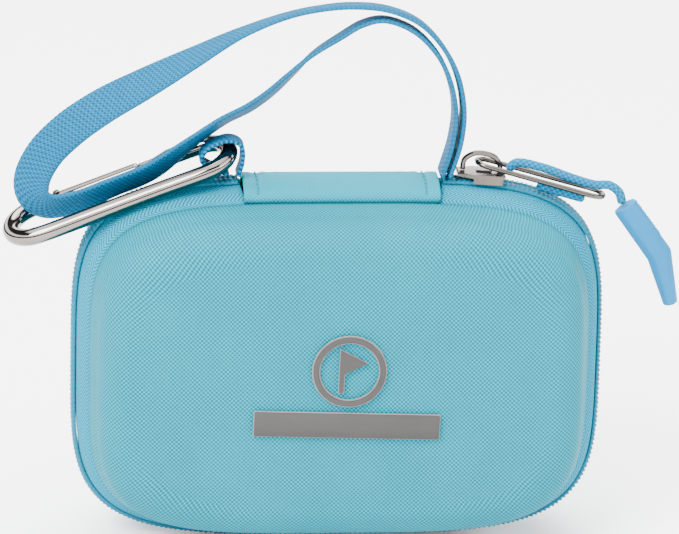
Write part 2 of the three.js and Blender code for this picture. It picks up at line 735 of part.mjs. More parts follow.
// Bar tacks that sew the strap and the keeper down at the two ends of the spine.
function addTacks() {
  const tack = [1.2, STRAP_WIDTH * 0.7, 0.5];
  for (const [name, side] of [['tack_left', -1], ['tack_right', 1]]) {
    const geometry = new THREE.BoxGeometry(...tack);
    geometry.translate(side * (SPINE_HALF_LENGTH - 3), 0, TOP_SEAM_Z + SPINE_RISE + 0.05);
    place(name, 'thread', geometry);
  }
}

addSlider();
addPull();
addCordAndGrip();
addBadge();
addInside();
addTacks();

export default group;
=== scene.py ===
"""Looks for a zip-round hard carrying case with a wrist strap, a wire carabiner and a corded zip puller."""

import logging
import math
from dataclasses import dataclass, field
from enum import Enum
from typing import Callable, Iterable, Sequence

import bpy
from mathutils import Matrix, Vector


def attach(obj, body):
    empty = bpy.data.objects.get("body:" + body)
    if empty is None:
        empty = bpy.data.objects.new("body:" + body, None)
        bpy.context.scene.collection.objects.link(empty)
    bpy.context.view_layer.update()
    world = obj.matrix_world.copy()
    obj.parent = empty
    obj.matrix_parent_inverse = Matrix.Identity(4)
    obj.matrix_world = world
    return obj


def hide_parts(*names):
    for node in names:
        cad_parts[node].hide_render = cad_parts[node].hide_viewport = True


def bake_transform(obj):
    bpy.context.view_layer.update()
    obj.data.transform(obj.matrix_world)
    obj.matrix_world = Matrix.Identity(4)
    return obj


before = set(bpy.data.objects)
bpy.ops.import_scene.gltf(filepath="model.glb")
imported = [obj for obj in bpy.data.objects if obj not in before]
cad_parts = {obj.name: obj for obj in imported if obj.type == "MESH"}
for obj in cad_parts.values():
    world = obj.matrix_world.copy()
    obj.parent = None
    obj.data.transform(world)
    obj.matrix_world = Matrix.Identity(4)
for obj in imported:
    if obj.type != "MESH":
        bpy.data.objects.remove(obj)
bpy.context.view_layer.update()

LOG = logging.getLogger("carrying_case")
MM = 0.001
RGB = tuple[float, float, float]
Place = Callable[[float, float], Vector]
Socket = bpy.types.NodeSocket
Piece = bpy.types.Object


class Body(str, Enum):
    """The bodies that pieces ride on."""

    BACK = "back_half"
    LID = "lid"
    CARABINER = "carabiner"
    GATE = "gate"
    PULL = "pull"
    GRIP = "grip"


class Side(Enum):
    """Which half of the case a piece belongs to: the sign of its depth."""

    FRONT = -1
    BACK = 1


# ---------------------------------------------------------------- node helper


class NodeTree:
    """Builds a material's nodes with short calls."""

    def __init__(self, name: str) -> None:
        """Starts a material with only its output and principled shader."""
        self.material = bpy.data.materials.new(name)
        self.material.use_nodes = True
        self.tree = self.material.node_tree
        self.tree.nodes.clear()
        self.output = self.tree.nodes.new("ShaderNodeOutputMaterial")
        self.shader = self.tree.nodes.new("ShaderNodeBsdfPrincipled")
        self.link(self.shader.outputs[0], self.output.inputs[0])

    def link(self, source: Socket, target: Socket) -> None:
        """Joins two sockets."""
        self.tree.links.new(source, target)

    def coordinates(self, output: str = "UV") -> Socket:
        """The piece's own UV or Object coordinates."""
        return self.tree.nodes.new("ShaderNodeTexCoord").outputs[output]

    def math(self, operation: str, *values: object) -> Socket:
        """One Math node.

        Args:
            operation: the node's operation.
            values: numbers or sockets for its inputs, in order.

        Returns:
            The node's result.
        """
        node = self.tree.nodes.new("ShaderNodeMath")
        node.operation = operation
        for slot, value in zip(node.inputs, values):
            if isinstance(value, (int, float)):
                slot.default_value = value
            else:
                self.link(value, slot)
        return node.outputs[0]

    def wave(self, value: Socket, turn: float) -> Socket:
        """The sine of a value times a turn."""
        return self.math("SINE", self.math("MULTIPLY", value, turn))

    def paint(self, colour: Socket) -> None:
        """Puts a colour on the shader."""
        self.link(colour, self.shader.inputs["Base Color"])

    def split(self, vector: Socket) -> Sequence[Socket]:
        """The three numbers of a vector."""
        node = self.tree.nodes.new("ShaderNodeSeparateXYZ")
        self.link(vector, node.inputs[0])
        return node.outputs

    def noise(self, vector: Socket, scale: float, detail: float = 3.0) -> Socket:
        """Noise from 0 to 1 at the given scale."""
        node = self.tree.nodes.new("ShaderNodeTexNoise")
        node.inputs["Scale"].default_value = scale
        node.inputs["Detail"].default_value = detail
        self.link(vector, node.inputs["Vector"])
        return node.outputs[0]

    def ramp(self, value: Socket, stops: Iterable[tuple[float, RGB]]) -> Socket:
        """A colour ramp through the given stops."""
        node = self.tree.nodes.new("ShaderNodeValToRGB")
        self.link(value, node.inputs[0])
        chosen = list(stops)
        elements = node.color_ramp.elements
        while len(elements) < len(chosen):
            elements.new(0.5)
        for element, (position, colour) in zip(elements, chosen):
            element.position = position
            element.color = (*colour, 1.0)
        return node.outputs[0]

    def mix(self, share: Socket, first: object, second: object) -> Socket:
        """A colour between two, by share."""
        node = self.tree.nodes.new("ShaderNodeMix")
        node.data_type = "RGBA"
        self.link(share, node.inputs[0])
        for slot, value in ((node.inputs[6], first), (node.inputs[7], second)):
            if isinstance(value, tuple):
                slot.default_value = (*value, 1.0)
            else:
                self.link(value, slot)
        return node.outputs[2]

    def bump(self, height: Socket, strength: float, distance: float) -> None:
        """Puts a height on the shader's normal."""
        node = self.tree.nodes.new("ShaderNodeBump")
        node.inputs["Strength"].default_value = strength
        node.inputs["Distance"].default_value = distance
        self.link(height, node.inputs["Height"])
        self.link(node.outputs[0], self.shader.inputs["Normal"])

    def set(self, **values: float) -> None:
        """Sets the shader's own sockets, with underscores for spaces."""
        for key, value in values.items():
            self.shader.inputs[key.replace("_", " ")].default_value = value


# ------------------------------------------------------------------- finishes

CLOTH_SPECULAR = 0.04
RUBBER_SPECULAR = 0.1


@dataclass(frozen=True)
class Weave:
    """Woven cloth: staggered yarn dots over a darker ground, on UVs in metres."""

    name: str
    ground: RGB
    yarn: RGB
    pitch: float = 1.15 * MM
    depth: float = 0.12 * MM
    roughness: float = 0.55

    def build(self) -> bpy.types.Material:
        """Makes the material."""
        nodes = NodeTree(self.name)
        along, across, _ = nodes.split(nodes.coordinates())
        turn = 2 * math.pi / self.pitch
        first = nodes.wave(along, turn)
        second = nodes.wave(across, turn)
        dots = nodes.math("MULTIPLY_ADD", nodes.math("MULTIPLY", first, second), 0.5, 0.5)
        fine = nodes.wave(nodes.math("ADD", along, across), turn * 3)
        height = nodes.math("ADD", dots, nodes.math("MULTIPLY", fine, 0.06))
        broad = nodes.noise(nodes.coordinates("Object"), 60.0, 2.0)
        shift = nodes.math("MULTIPLY_ADD", broad, 0.16, -0.08)
        tone = nodes.math("ADD", dots, shift)
        middle = tuple((a + b) / 2 for a, b in zip(self.ground, self.yarn))
        colour = nodes.ramp(tone, [(0.3, self.ground), (0.52, middle), (0.8, self.yarn)])
        nodes.paint(colour)
        nodes.bump(height, 0.8, self.depth)
        nodes.set(Roughness=self.roughness, Specular_IOR_Level=CLOTH_SPECULAR)
        return nodes.material


@dataclass(frozen=True)
class Herringbone:
    """Zip tape: narrow chevron ribs, on UVs in metres with the tape's length along u."""

    name: str
    ground: RGB
    yarn: RGB
    pitch: float = 1.25 * MM
    column: float = 4.4 * MM
    roughness: float = 0.7

    def build(self) -> bpy.types.Material:
        """Makes the material."""
        nodes = NodeTree(self.name)
        along, across, _ = nodes.split(nodes.coordinates())
        zigzag = nodes.math("PINGPONG", across, self.column / 2)
        slanted = nodes.math("ADD", along, nodes.math("MULTIPLY", zigzag, 1.3))
        wave = nodes.wave(slanted, 2 * math.pi / self.pitch)
        ribs = nodes.math("MULTIPLY_ADD", wave, 0.5, 0.5)
        grain = nodes.noise(nodes.coordinates("Object"), 900.0)
        tone = nodes.math("ADD", ribs, nodes.math("MULTIPLY_ADD", grain, 0.3, -0.15))
        colour = nodes.ramp(tone, [(0.1, self.ground), (0.85, self.yarn)])
        nodes.paint(colour)
        nodes.bump(ribs, 0.7, 0.1 * MM)
        nodes.set(Roughness=self.roughness, Specular_IOR_Level=CLOTH_SPECULAR)
        return nodes.material


@dataclass(frozen=True)
class Webbing:
    """Ribbed webbing: cross ribs broken into rows of yarn dots, darker between."""

    name: str
    ground: RGB
    yarn: RGB
    rib: float = 1.25 * MM
    row: float = 1.0 * MM
    roughness: float = 0.62

    def build(self) -> bpy.types.Material:
        """Makes the material."""
        nodes = NodeTree(self.name)
        along, across, _ = nodes.split(nodes.coordinates())
        lean = nodes.math("ADD", along, nodes.math("MULTIPLY", across, 0.35))
        ribs = nodes.wave(lean, 2 * math.pi / self.rib)
        rows = nodes.wave(across, 2 * math.pi / self.row)
        product = nodes.math("MULTIPLY", ribs, rows)
        dots = nodes.math("MULTIPLY_ADD", product, 0.35, nodes.math("MULTIPLY_ADD", ribs, 0.18, 0.5))
        grain = nodes.noise(nodes.coordinates("Object"), 700.0)
        tone = nodes.math("ADD", dots, nodes.math("MULTIPLY_ADD", grain, 0.24, -0.12))
        middle = tuple(0.55 * a + 0.45 * b for a, b in zip(self.ground, self.yarn))
        colour = nodes.ramp(tone, [(0.22, self.ground), (0.5, middle), (0.85, self.yarn)])
        nodes.paint(colour)
        nodes.bump(dots, 0.9, 0.22 * MM)
        nodes.set(Roughness=self.roughness, Specular_IOR_Level=CLOTH_SPECULAR)
        return nodes.material


@dataclass(frozen=True)
class Metal:
    """Plated metal with faint cloudy wear in its polish."""

    name: str
    colour: RGB
    dull: RGB
    smooth: float = 0.08
    worn: float = 0.2

    def build(self) -> bpy.types.Material:
        """Makes the material."""
        nodes = NodeTree(self.name)
        place = nodes.coordinates("Object")
        clouds = nodes.noise(place, 180.0, 5.0)
        scuffs = nodes.noise(place, 1400.0, 2.0)
        nodes.paint(nodes.mix(clouds, self.colour, self.dull))
        span = self.worn - self.smooth
        rough = nodes.math("MULTIPLY_ADD", clouds, span, self.smooth)
        nodes.link(rough, nodes.shader.inputs["Roughness"])
        nodes.bump(scuffs, 0.05, 0.02 * MM)
        nodes.set(Metallic=1.0)
        return nodes.material


@dataclass(frozen=True)
class Moulded:
    """Moulded rubber or plastic with a fine grain and slight mottling."""

    name: str
    colour: RGB
    light: RGB
    roughness: float = 0.45
    grain: float = 900.0
    depth: float = 0.03 * MM

    def build(self) -> bpy.types.Material:
        """Makes the material."""
        nodes = NodeTree(self.name)
        place = nodes.coordinates("Object")
        mottle = nodes.noise(place, 90.0)
        grain = nodes.noise(place, self.grain, 4.0)
        nodes.paint(nodes.mix(mottle, self.colour, self.light))
        rough = nodes.math("MULTIPLY_ADD", grain, 0.2, self.roughness - 0.1)
        nodes.link(rough, nodes.shader.inputs["Roughness"])
        nodes.bump(grain, 0.4, self.depth)
        nodes.set(Specular_IOR_Level=RUBBER_SPECULAR)
        return nodes.material


@dataclass(frozen=True)
class Knit:
    """Brushed lining or net, a small repeating loop pattern on Object coordinates."""

    name: str
    ground: RGB
    yarn: RGB
    pitch: float = 0.9 * MM

    def build(self) -> bpy.types.Material:
        """Makes the material."""
        nodes = NodeTree(self.name)
        place = nodes.coordinates("Object")
        across, _, up = nodes.split(place)
        turn = 2 * math.pi / self.pitch
        first = nodes.wave(across, turn)
        second = nodes.wave(up, turn)
        loops = nodes.math("MULTIPLY_ADD", nodes.math("MULTIPLY", first, second), 0.5, 0.5)
        fuzz = nodes.noise(place, 1500.0, 4.0)
        tone = nodes.math("ADD", nodes.math("MULTIPLY", loops, 0.6), nodes.math("MULTIPLY", fuzz, 0.4))
        colour = nodes.ramp(tone, [(0.25, self.ground), (0.8, self.yarn)])
        nodes.paint(colour)
        nodes.bump(tone, 0.6, 0.15 * MM)
        nodes.set(Roughness=0.95, Sheen_Weight=0.4)
        return nodes.material


SHELL = Weave("shell_cloth", (0.0, 0.065, 0.095), (0.0, 0.19, 0.245))
SPINE = Weave("spine_cloth", (0.0, 0.12, 0.17), (0.0, 0.2, 0.26), pitch=1.0 * MM, depth=0.08 * MM)
TAPE = Herringbone("zip_tape", (0.0, 0.07, 0.12), (0.002, 0.2, 0.29))
COIL = Moulded("zip_coil", (0.0, 0.075, 0.13), (0.0, 0.12, 0.19), roughness=0.4)
STRAP = Webbing("strap_webbing", (0.0, 0.035, 0.09), (0.002, 0.105, 0.2))
CHROME = Metal("polished_plate", (0.17, 0.155, 0.145), (0.12, 0.105, 0.095), smooth=0.03, worn=0.14)
NICKEL = Metal("nickel_plate", (0.11, 0.095, 0.085), (0.06, 0.052, 0.045), smooth=0.08, worn=0.34)
GRIP = Moulded("soft_grip", (0.0, 0.1, 0.23), (0.0, 0.12, 0.27), roughness=0.42)
CORD = Weave("braided_cord", (0.0, 0.06, 0.14), (0.0, 0.13, 0.24), pitch=1.5 * MM, depth=0.16 * MM)
BADGE = Moulded("raised_print", (0.03, 0.029, 0.028), (0.04, 0.038, 0.037), roughness=0.5)
OUTLINE = Moulded("print_edge", (0.1, 0.1, 0.1), (0.14, 0.14, 0.14), roughness=0.6)
LINING = Knit("brushed_lining", (0.012, 0.014, 0.018), (0.06, 0.066, 0.075))
NET = Knit("pocket_net", (0.008, 0.009, 0.011), (0.1, 0.11, 0.12), pitch=2.0 * MM)
THREAD = Moulded("sewing_thread", (0.0, 0.1, 0.15), (0.0, 0.14, 0.2), roughness=0.7, grain=3000.0)


class Finishes:
    """Builds each finish once and hands out its material."""

    made: dict[str, bpy.types.Material] = {}

    @classmethod
    def get(cls, finish: object) -> bpy.types.Material:
        """The finish's material, built on first use."""
        if finish.name not in cls.made:
            cls.made[finish.name] = finish.build()
        return cls.made[finish.name]


# -------------------------------------------------------------------- shaping


class Workbench:
    """Adds primitives and shapes them in place."""

    @staticmethod
    def clear() -> None:
        """Leaves nothing selected and no object in edit mode."""
        if bpy.context.object and bpy.context.object.mode != "OBJECT":
            bpy.ops.object.mode_set(mode="OBJECT")
        bpy.ops.object.select_all(action="DESELECT")

    @classmethod
    def surface(
        cls,
        name: str,
        columns: int,
        rows: int,
        place: Place,
        uv_size: tuple[float, float] | None = None,
        uv_place: Callable[[float, float], tuple[float, float]] | None = None,
    ) -> Piece:
        """A grid wrapped over a shape, its edges welded where they meet.

        Args:
            name: the new piece's name.
            columns: divisions along the first parameter.
            rows: divisions along the second.
            place: gives the point, in metres, for two shares from 0 to 1.
            uv_size: length and girth that the whole grid covers, in metres.
            uv_place: gives the UV, in metres, for two shares, in place of uv_size.

        Returns:
            The piece, with its normals outward.
        """
        cls.clear()
        bpy.ops.mesh.primitive_grid_add(x_subdivisions=columns, y_subdivisions=rows, size=2)
        piece = bpy.context.object
        piece.name = name
        mesh = piece.data
        mesh.name = name
        shares = [((v.co.x + 1) / 2, (v.co.y + 1) / 2) for v in mesh.vertices]
        layer = mesh.uv_layers.active.data
        for loop in mesh.loops:
            u, v = shares[loop.vertex_index]
            if uv_place:
                layer[loop.index].uv = uv_place(u, v)
            else:
                size = uv_size or (1.0, 1.0)
                layer[loop.index].uv = (u * size[0], v * size[1])
        for vertex, (u, v) in zip(mesh.vertices, shares):
            vertex.co = place(u, v)
        cls.weld(piece)
        return piece

    @classmethod
    def weld(cls, piece: Piece) -> None:
        """Merges doubles, closes the form's normals outward and smooths it."""
        cls.clear()
        piece.select_set(True)
        bpy.context.view_layer.objects.active = piece
        bpy.ops.object.mode_set(mode="EDIT")
        bpy.ops.mesh.select_all(action="SELECT")
        bpy.ops.mesh.remove_doubles(threshold=1e-6)
        bpy.ops.mesh.dissolve_degenerate(threshold=1e-7)
        bpy.ops.mesh.select_all(action="SELECT")
        bpy.ops.mesh.normals_make_consistent(inside=False)
        bpy.ops.object.mode_set(mode="OBJECT")
        bpy.ops.object.shade_smooth()
        cls.clear()

    @classmethod
    def dress(
        cls,
        piece: Piece,
        finish: object,
        body: Body | None,
        slot: str,
        replaces: Sequence[str] = (),
    ) -> Piece:
        """Gives a piece its finish, its body and the CAD nodes it stands for."""
        piece.data.materials.clear()
        piece.data.materials.append(Finishes.get(finish))
        if body is not None:
            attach(piece, body.value)
        if replaces:
            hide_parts(*replaces)
        LOG.info("%s: %d faces", piece.name, len(piece.data.polygons))
        return piece

    @classmethod
    def bevel(cls, piece: Piece, width: float, segments: int = 3) -> None:
        """Rounds a piece's sharp edges with an applied bevel."""
        cls.clear()
        piece.select_set(True)
        bpy.context.view_layer.objects.active = piece
        modifier = piece.modifiers.new("soft_edges", "BEVEL")
        modifier.width = width
        modifier.segments = segments
        modifier.limit_method = "ANGLE"
        modifier.angle_limit = math.radians(25)
        bpy.ops.object.modifier_apply(modifier=modifier.name)
        bpy.ops.object.shade_smooth_by_angle(angle=math.radians(40))
        cls.clear()

    @staticmethod
    def repaint(names: Sequence[str], finish: object) -> None:
        """Gives its own finish to each CAD node that keeps its solid."""
        for name in names:
            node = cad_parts[name]
            node.data.materials.clear()
            node.data.materials.append(Finishes.get(finish))

    @classmethod
    def scatter(cls, name: str, seed: Piece, spots: Iterable[Matrix]) -> Piece:
        """Copies a seed to every spot, joins the copies and drops the seed."""
        parts = []
        for spot in spots:
            copy = seed.copy()
            copy.data = seed.data.copy()
            bpy.context.collection.objects.link(copy)
            copy.data.transform(spot)
            parts.append(copy)
        bpy.data.objects.remove(seed)
        cls.clear()
        for part in parts:
            part.select_set(True)
        bpy.context.view_layer.objects.active = parts[0]
        bpy.ops.object.join()
        piece = bpy.context.object
        piece.name = name
        return piece


class Route:
    """A smooth path through points in millimetres, kept in metres, at an even pace."""

    def __init__(self, points: Sequence[Sequence[float]], closed: bool = False, fine: int = 24) -> None:
        """Samples a centripetal curve through the points, with any extra values carried along."""
        rows = [tuple(float(v) for v in p) for p in points]
        if closed:
            knots = [rows[-1], *rows, rows[0], rows[1]]
        else:
            first = tuple(2 * a - b for a, b in zip(rows[0], rows[1]))
            last = tuple(2 * a - b for a, b in zip(rows[-1], rows[-2]))
            knots = [first, *rows, last]
        self.closed = closed
        samples: list[tuple[float, ...]] = []
        for i in range(1, len(knots) - 2):
            for k in range(fine):
                samples.append(self._between(knots[i - 1 : i + 3], k / fine))
        samples.append(knots[-2])
        self.samples = samples
        self.reach = [0.0]
        for a, b in zip(samples, samples[1:]):
            self.reach.append(self.reach[-1] + math.dist(a[:3], b[:3]))
        self.length = self.reach[-1] * MM

    @staticmethod
    def _between(knots: Sequence[tuple[float, ...]], share: float) -> tuple[float, ...]:
        """A point between the middle two of four knots, paced by the root of their distances."""
        times = [0.0]
        for a, b in zip(knots, knots[1:]):
            times.append(times[-1] + max(1e-4, math.dist(a[:3], b[:3]) ** 0.5))
        t = times[1] + (times[2] - times[1]) * share

        def blend(a: tuple[float, ...], b: tuple[float, ...], low: float, high: float) -> tuple[float, ...]:
            """A straight blend of two rows between two times."""
            w = (t - low) / (high - low)
            return tuple(x + (y - x) * w for x, y in zip(a, b))

        p0, p1, p2, p3 = knots
        a1 = blend(p0, p1, times[0], times[1])
        a2 = blend(p1, p2, times[1], times[2])
        a3 = blend(p2, p3, times[2], times[3])
        b1 = blend(a1, a2, times[0], times[2])
        b2 = blend(a2, a3, times[1], times[3])
        return blend(b1, b2, times[1], times[2])

    def at(self, share: float) -> tuple[float, ...]:
        """The row of values at a share of the length."""
        target = min(max(share, 0.0), 1.0) * self.reach[-1]
        low, high = 0, len(self.reach) - 1
        while high - low > 1:
            middle = (low + high) // 2
            if self.reach[middle] <= target:
                low = middle
            else:
                high = middle
        span = self.reach[high] - self.reach[low]
        w = 0.0 if span <= 0 else (target - self.reach[low]) / span
        return tuple(a + (b - a) * w for a, b in zip(self.samples[low], self.samples[high]))

    def point(self, share: float) -> Vector:
        """The place at a share of the length, in metres."""
        return Vector(self.at(share)[:3]) * MM

    def heading(self, share: float) -> Vector:
        """The direction of travel at a share of the length."""
        step = 0.002
        if self.closed:
            return (self.point((share + step) % 1.0) - self.point((share - step) % 1.0)).normalized()
        return (self.point(share + step) - self.point(share - step)).normalized()


class Rods:
    """Sweeps round bars, cords and wires along routes."""

    @staticmethod
    def sweep(
        name: str,
        route: Route,
        radius: float,
        steps: int,
        sides: int,
        level: Vector,
        thick: Callable[[float, float], float] | None = None,
        cap: float = 1.0,
    ) -> Piece:
        """A round bar along a route, with domed ends if it is open.

        Args:
            name: the piece's name.
            route: its centreline.
            radius: in metres.
            steps: divisions along it.
            sides: divisions round it.
            level: a direction that stays across the bar, to keep it from twisting.
            thick: scales the radius at a share along and a turn round.
            cap: how far each end's dome reaches, as a share of the radius.

        Returns:
            The closed piece.
        """
        dome = 0 if route.closed else 4

        def place(u: float, v: float) -> Vector:
            """Point on the bar's skin."""
            column = round(u * (steps + 2 * dome))
            push, shrink = 0.0, 1.0
            if column < dome:
                turn = (column / dome) * math.pi / 2
                share, push, shrink = 0.0, -cap * radius * math.cos(turn), math.sin(turn)
            elif column > steps + dome:
                turn = ((steps + 2 * dome - column) / dome) * math.pi / 2
                share, push, shrink = 1.0, cap * radius * math.cos(turn), math.sin(turn)
            else:
                share = (column - dome) / steps
            if route.closed:
                share = share % 1.0
            along = route.heading(share)
            side = level.cross(along).normalized()
            across = along.cross(side)
            angle = 2 * math.pi * v
            size = radius * shrink * (thick(share, v) if thick else 1.0)
            centre = route.point(share) + along * push
            return centre + side * (math.cos(angle) * size) + across * (math.sin(angle) * size)

        girth = 2 * math.pi * radius
        return Workbench.surface(name, steps + 2 * dome, sides, place, (route.length, girth))


# ----------------------------------------------------------------- the outline

SEAM_Y = 9.5
HALF_HEIGHT = 45.6
TAPE_RISE = 3.3
GAP = 0.35
COIL_HEIGHT = 1.2
SPINE_HALF = 26.0
OUTLINE_FINE = 2880
OUTLINE_STEPS = 1440
OUTLINE_COLUMNS = 240
MIDDLE_POWER = 2.2


@dataclass(frozen=True)
class Outline:
    """The case's squared-up oval, measured at the seam, in millimetres."""

    half_width: float = 66.5
    half_height: float = HALF_HEIGHT
    power: float = 4.2
    centre_z: float = HALF_HEIGHT + TAPE_RISE + GAP + COIL_HEIGHT
    table: list[float] = field(default_factory=list)

    def __post_init__(self) -> None:
        """Finds the directions that divide the outline evenly."""
        total = 0.0
        reach = [0.0]
        last = None
        for i in range(OUTLINE_FINE + 1):
            angle = 2 * math.pi * i / OUTLINE_FINE
            r = self.polar(angle, self.half_width, self.half_height, self.power)
            at = (r * math.sin(angle), r * math.cos(angle))
            if last:
                total += math.dist(at, last)
                reach.append(total)
            last = at
        k = 0
        for step in range(OUTLINE_STEPS + 1):
            target = total * step / OUTLINE_STEPS
            while k < OUTLINE_FINE and reach[k] < target - 1e-9:
                k += 1
            self.table.append(2 * math.pi * k / OUTLINE_FINE)

    @staticmethod
    def polar(angle: float, width: float, height: float, power: float) -> float:
        """Distance from the centre to the oval in a direction from straight up."""
        a = abs(math.sin(angle) / width) ** power
        b = abs(math.cos(angle) / height) ** power
        return (a + b) ** (-1 / power)

    def direction(self, share: float) -> float:
        """The direction at a share of the way round, clockwise from the top."""
        at = (share % 1.0) * OUTLINE_STEPS
        low = int(at)
        high = min(low + 1, OUTLINE_STEPS)
        return self.table[low] + (self.table[high] - self.table[low]) * (at - low)

    def point(self, share: float, rise: float, y: float) -> Vector:
        """The place, in metres, at a share round, a rise outward from the seam and a depth."""
        radius = self.half_height + rise
        if radius < 1e-5:
            return Vector((0, y, self.centre_z)) * MM
        part = min(1.0, radius / self.half_height)
        width = radius + (self.half_width - self.half_height) * (1 - (1 - part) ** 3)
        power = MIDDLE_POWER + (self.power - MIDDLE_POWER) * part**0.7
        angle = self.direction(share)
        r = self.polar(angle, width, radius, power)
        return Vector((r * math.sin(angle), y, self.centre_z + r * math.cos(angle))) * MM

    def girth(self, rise: float = 0.0) -> float:
        """The way round at a rise, in metres."""
        points = [self.point(i / 360, rise, 0) for i in range(361)]
        return sum((a - b).length for a, b in zip(points, points[1:]))


OUTLINE_SHAPE = Outline()
TOP_SEAM_Z = OUTLINE_SHAPE.centre_z + HALF_HEIGHT
CREST_Z = TOP_SEAM_Z + TAPE_RISE + GAP + COIL_HEIGHT


# ------------------------------------------------------------------ the shells


@dataclass
class HalfCase:
    """One moulded half: shell, lining, zip tape and coil."""

    side: Side
    body: Body
    prefix: str
    depth: float = 28.0
    crown: float = 1.1
    edge: float = 10.0
    draft: float = 1.7
    wall: float = 1.6
    coil_width: float = 2.8
    tooth_pitch: float = 1.3
    tape_wall: float = 0.8
    face_rows: int = 16

    def profile(self, inset: float, fine: int) -> list[tuple[float, float]]:
        """The section from the middle of the face to the rim, as (rise, depth) in millimetres."""
        face_y = self.depth - self.crown - inset
        middle = -OUTLINE_SHAPE.half_height
        face_edge = -self.draft - self.edge
        radius = self.edge - inset
        points = []
        for i in range(fine):
            share = i / fine
            fall = max(0.0, share - 0.5) / 0.5
            points.append((middle + (face_edge - middle) * share, face_y + self.crown * (1 - fall**2)))
        for i in range(fine + 1):
            turn = i / fine * math.pi / 2
            points.append((face_edge + radius * math.sin(turn), face_y - radius + radius * math.cos(turn)))
        start = (-self.draft - inset, face_y - radius)
        end = (-inset, SEAM_Y + 0.3)
        for i in range(1, 6):
            w = i / 5
            belly = 0.35 * math.sin(w * math.pi)
            points.append((start[0] + (end[0] - start[0]) * w + belly, start[1] + (end[1] - start[1]) * w))
        return points

    def build(self) -> None:
        """Makes and dresses the half's pieces."""
        self.shell()
        self.lining()
        self.tape()
        self.coil()
        self.seam_cord()

    def shell(self) -> None:
        """The cloth-covered shell, its weave laid from the middle of the face outward."""
        outer = self.profile(0.0, self.face_rows)
        lip = [(-0.25, SEAM_Y + 0.12), (-self.wall + 0.2, SEAM_Y + 0.12)]
        inner = list(reversed(self.profile(self.wall, self.face_rows // 2)))
        section = outer + lip + inner
        sign = self.side.value
        lengths = [0.0]
        for a, b in zip(section, section[1:]):
            lengths.append(lengths[-1] + math.dist(a, b))
        rows = len(section) - 1
        flat = self.face_rows

        def place(u: float, v: float) -> Vector:
            """Point on the shell."""
            rise, y = section[round(v * rows)]
            return OUTLINE_SHAPE.point(u, rise, sign * y)

        def weave(u: float, v: float) -> tuple[float, float]:
            """The cloth's own coordinates: distance from the face's middle in each direction."""
            row = round(v * rows)
            here = OUTLINE_SHAPE.point(u, section[min(row, flat)][0], 0.0)
            if row > flat:
                rim = OUTLINE_SHAPE.point(u, 0.0, 0.0)
                here += (rim - here).normalized() * ((lengths[row] - lengths[flat]) * MM)
            return (here.x, here.z)

        name = f"{self.prefix}_shell_cloth"
        piece = Workbench.surface(name, OUTLINE_COLUMNS, rows, place, uv_place=weave)
        Workbench.dress(piece, SHELL, self.body, "shell", [f"{self.prefix}_shell"])

    def lining(self) -> None:
        """The brushed lining keeps its solid and gets its own finish."""
        Workbench.repaint([f"{self.prefix}_lining"], LINING)

    def ring_piece(
        self,
        name: str,
        section: Sequence[tuple[float, float]],
        steps: int,
        ridge: Callable[[float, int], float] | None = None,
    ) -> Piece:
        """A closed section run round the outline from one end of the spine to the other.

        Args:
            name: the piece's name.
            section: (rise, depth) points in millimetres, closed on itself.
            steps: divisions along the ring.
            ridge: adds a rise at a distance along the ring, for each section point.

        Returns:
            The closed piece.
        """
        girth = OUTLINE_SHAPE.girth(3.0)
        start = (SPINE_HALF + 0.5) * MM / girth
        sign = self.side.value
        count = len(section)
        rise_mid = sum(p[0] for p in section) / count
        y_mid = sum(p[1] for p in section) / count

        def place(u: float, v: float) -> Vector:
            """Point on the ring's skin, drawn to a point at both ends to close it."""
            column = round(u * steps)
            inner = min(max(column, 1), steps - 1)
            share = start + (1 - 2 * start) * ((inner - 1) / (steps - 2))
            index = round(v * count) % count
            rise, y = section[index]
            if ridge:
                rise += ridge(share * girth / MM, index)
            if column in (0, steps):
                rise, y = rise_mid, y_mid
            return OUTLINE_SHAPE.point(share, rise, sign * y)

        lengths = sum(math.dist(section[i], section[(i + 1) % count]) for i in range(count))
        return Workbench.surface(name, steps, count, place, (girth, lengths * MM))

    def tape(self) -> None:
        """The tape that stands out from the seam and carries the coil."""
        top = [(-0.9, SEAM_Y - 0.1), (0.2, SEAM_Y - 0.75), (1.25, SEAM_Y - 1.9), (2.1, SEAM_Y - 3.0)]
        top += [(2.65, SEAM_Y - 4.2), (3.05, SEAM_Y - 5.4), (3.25, SEAM_Y - 6.6)]
        top += [(TAPE_RISE, 1.6), (TAPE_RISE, GAP)]
        under = [(TAPE_RISE - self.tape_wall, GAP), (2.5, SEAM_Y - 6.6), (1.9, SEAM_Y - 4.9)]
        under += [(0.5, SEAM_Y - 2.8), (-1.6, SEAM_Y - 1.0)]
        piece = self.ring_piece(f"{self.prefix}_tape", top + under, 300)
        Workbench.dress(piece, TAPE, self.body, "tape", [f"{self.prefix}_zip_tape"])

    def coil(self) -> None:
        """The coil: a bead with a ridge for every turn of its filament."""
        low = TAPE_RISE + 0.1
        far = GAP + self.coil_width
        section = [(low, GAP), (low, far), (low + 0.75, far)]
        section += [(low + 1.2, far - 0.7), (low + 1.3, 1.4), (low + 1.15, GAP)]
        pitch = self.tooth_pitch

        def ridge(along: float, index: int) -> float:
            """Rise of the coil's turns."""
            if index < 2:
                return 0.0
            slant = 0.5 * section[index][1]
            return 0.26 * math.sin(2 * math.pi * (along + slant) / pitch) - 0.14

        piece = self.ring_piece(f"{self.prefix}_coil", section, 2200, ridge)
        Workbench.dress(piece, COIL, self.body, "coil", [f"{self.prefix}_zip_coil"])

    def seam_cord(self) -> None:
        """The thread in the groove where the shell meets the tape."""
        sign = self.side.value
        section = [(-1.0, SEAM_Y + 0.12), (-0.6, SEAM_Y), (-1.0, SEAM_Y - 0.02), (-1.5, SEAM_Y + 0.05)]
        count = len(section)

